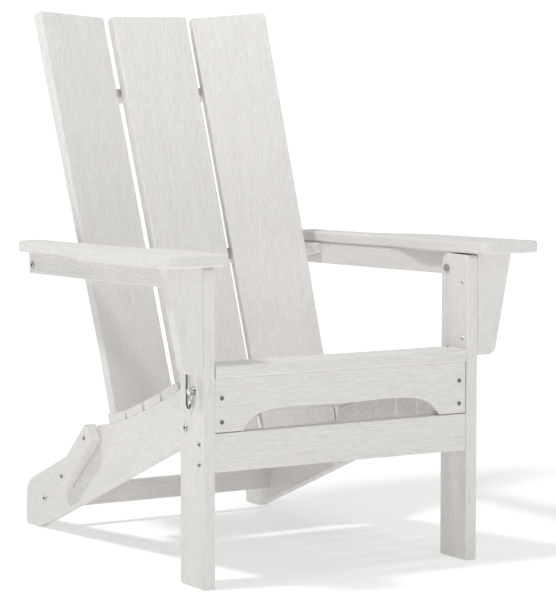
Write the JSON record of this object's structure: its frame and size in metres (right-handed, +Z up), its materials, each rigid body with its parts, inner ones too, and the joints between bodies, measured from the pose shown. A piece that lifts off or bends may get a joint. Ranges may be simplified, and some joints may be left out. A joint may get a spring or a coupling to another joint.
{
  "type": "folding adirondack chair",
  "caption": "Slatted garden armchair with a low raked seat, a fan back of three wide boards, flat arms, and front legs that fold on bolts after two lock pins are pulled.",
  "frame": {"origin": "on the floor, at the middle of the chair's width and of its whole depth", "axes": "+X from the side whose nodes are named left to the side named right, +Y from the front of the chair to its rear, +Z up"},
  "size_m": [0.73, 0.7769, 0.9508],
  "materials": {
    "lumber": "white poly lumber with an embossed wood grain",
    "steel": "dull stainless",
    "lanyard": "dark sheathed wire rope"
  },
  "bodies": {
    "seat": {"left_stringer": "lumber", "right_stringer": "lumber", "front_seat_slat": "lumber", "seat_slat_1": "lumber", "seat_slat_2": "lumber", "seat_slat_3": "lumber", "seat_slat_4": "lumber", "seat_slat_5": "lumber", "seat_slat_screws": "steel", "upper_apron": "lumber", "upper_apron_screws": "steel", "rear_stretcher": "lumber", "stretcher_bolts": "steel", "left_cleat": "lumber", "right_cleat": "lumber", "cleat_screws": "steel", "fold_bolts": "steel"},
    "front_legs": {"left_leg": "lumber", "right_leg": "lumber", "lower_apron": "lumber", "lower_apron_screws": "steel", "left_arm_bracket": "lumber", "right_arm_bracket": "lumber", "bracket_screws": "steel", "arm_bolts": "steel", "pin_bushings": "steel", "lanyard_anchors": "steel", "lanyard_ferrules": "steel", "left_lanyard": "lanyard", "right_lanyard": "lanyard"},
    "left_arm": {"left_arm": "lumber", "left_arm_rail": "lumber", "left_arm_screws": "steel", "left_back_bolt": "steel"},
    "right_arm": {"right_arm": "lumber", "right_arm_rail": "lumber", "right_arm_screws": "steel", "right_back_bolt": "steel"},
    "back": {"back_slat_left": "lumber", "back_slat_middle": "lumber", "back_slat_right": "lumber", "upper_support": "lumber", "upper_support_screws": "steel", "foot_rail": "lumber", "foot_rail_screws": "steel", "lower_crossbar": "lumber", "crossbar_screws": "steel"},
    "left_pin": {"left_lock_pin": "steel", "left_pin_ring": "steel"},
    "right_pin": {"right_lock_pin": "steel", "right_pin_ring": "steel"}
  },
  "joints": [
    {"name": "leg_fold", "type": "hinge", "parent": "seat", "child": "front_legs", "pos_m": [0, -0.2735, 0.262], "axis": [1, 0, 0], "range_deg": [0, 68]},
    {"name": "left_arm_fold", "type": "hinge", "parent": "front_legs", "child": "left_arm", "pos_m": [0, -0.2715, 0.5045], "axis": [1, 0, 0], "range_deg": [-66.5, 0]},
    {"name": "right_arm_fold", "type": "hinge", "parent": "front_legs", "child": "right_arm", "pos_m": [0, -0.2715, 0.5045], "axis": [1, 0, 0], "range_deg": [-66.5, 0]},
    {"name": "back_fold", "type": "hinge", "parent": "left_arm", "child": "back", "pos_m": [0, 0.2585, 0.494], "axis": [1, 0, 0], "range_deg": [0, 86.8]},
    {"name": "left_pin_pull", "type": "slide", "parent": "front_legs", "child": "left_pin", "axis": [-1, 0, 0], "range_m": [0, 0.035]},
    {"name": "right_pin_pull", "type": "slide", "parent": "front_legs", "child": "right_pin", "axis": [1, 0, 0], "range_m": [0, 0.035]}
  ],
  "couplings": [
    {"joint": "left_arm_fold", "follows": "leg_fold", "ratio": -0.97},
    {"joint": "right_arm_fold", "follows": "leg_fold", "ratio": -0.97},
    {"joint": "back_fold", "follows": "leg_fold", "ratio": 1.27}
  ]
}
